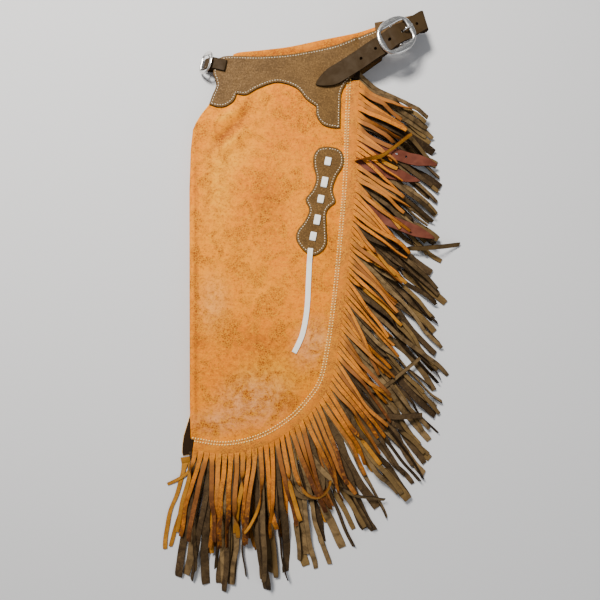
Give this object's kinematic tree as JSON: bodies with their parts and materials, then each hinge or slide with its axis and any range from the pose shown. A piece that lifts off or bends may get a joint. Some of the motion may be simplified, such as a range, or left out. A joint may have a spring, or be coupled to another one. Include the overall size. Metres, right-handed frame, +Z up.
{
  "type": "fringed leather chaps, folded",
  "caption": "Short fringed riding chaps in distressed caramel leather with dark yoke and fringe, belted at the back, fastened at the front and folded in half, lying flat",
  "frame": {"origin": "middle of the part's footprint, on the surface that it lies on", "axes": "+Z up from the surface, +Y from the fringed hem to the belt, +X towards the fringed side"},
  "size_m": [0.4874, 0.9238, 0.0455],
  "materials": {
    "caramel_leather": "distressed pull-up leather, mottled, fine grain",
    "golden_suede": "golden flesh side, napped",
    "dark_leather": "dark brown pebbled grain, matt",
    "olive_leather": "olive brown split leather strands",
    "belt_leather": "dark brown strap leather, burnished edges",
    "oxblood_leather": "oxblood latigo leather",
    "ivory_lace": "flat ivory rawhide lace",
    "polished_steel": "polished stainless steel"
  },
  "bodies": {
    "root": {"leg_panel": "caramel_leather", "leg_panel_under": "caramel_leather", "folded_layers": "caramel_leather", "yoke_lining": "caramel_leather", "fringe_caramel": "caramel_leather", "fringe_caramel_under": "golden_suede", "yoke": "dark_leather", "yoke_under": "dark_leather", "thigh_overlay": "dark_leather", "buckle_chape": "dark_leather", "fringe_dark": "olive_leather", "fringe_dark_under": "olive_leather", "billet": "belt_leather", "front_strap": "belt_leather", "leg_strap_1": "oxblood_leather", "leg_strap_2": "oxblood_leather", "leg_strap_3": "oxblood_leather", "lace_bit_1": "ivory_lace", "lace_bit_2": "ivory_lace", "lace_bit_3": "ivory_lace", "lace_bit_4": "ivory_lace", "lace_bit_5": "ivory_lace", "lace_tail": "ivory_lace", "belt_buckle": "polished_steel", "belt_tongue": "polished_steel", "front_buckle": "polished_steel"}
  },
  "joints": []
}
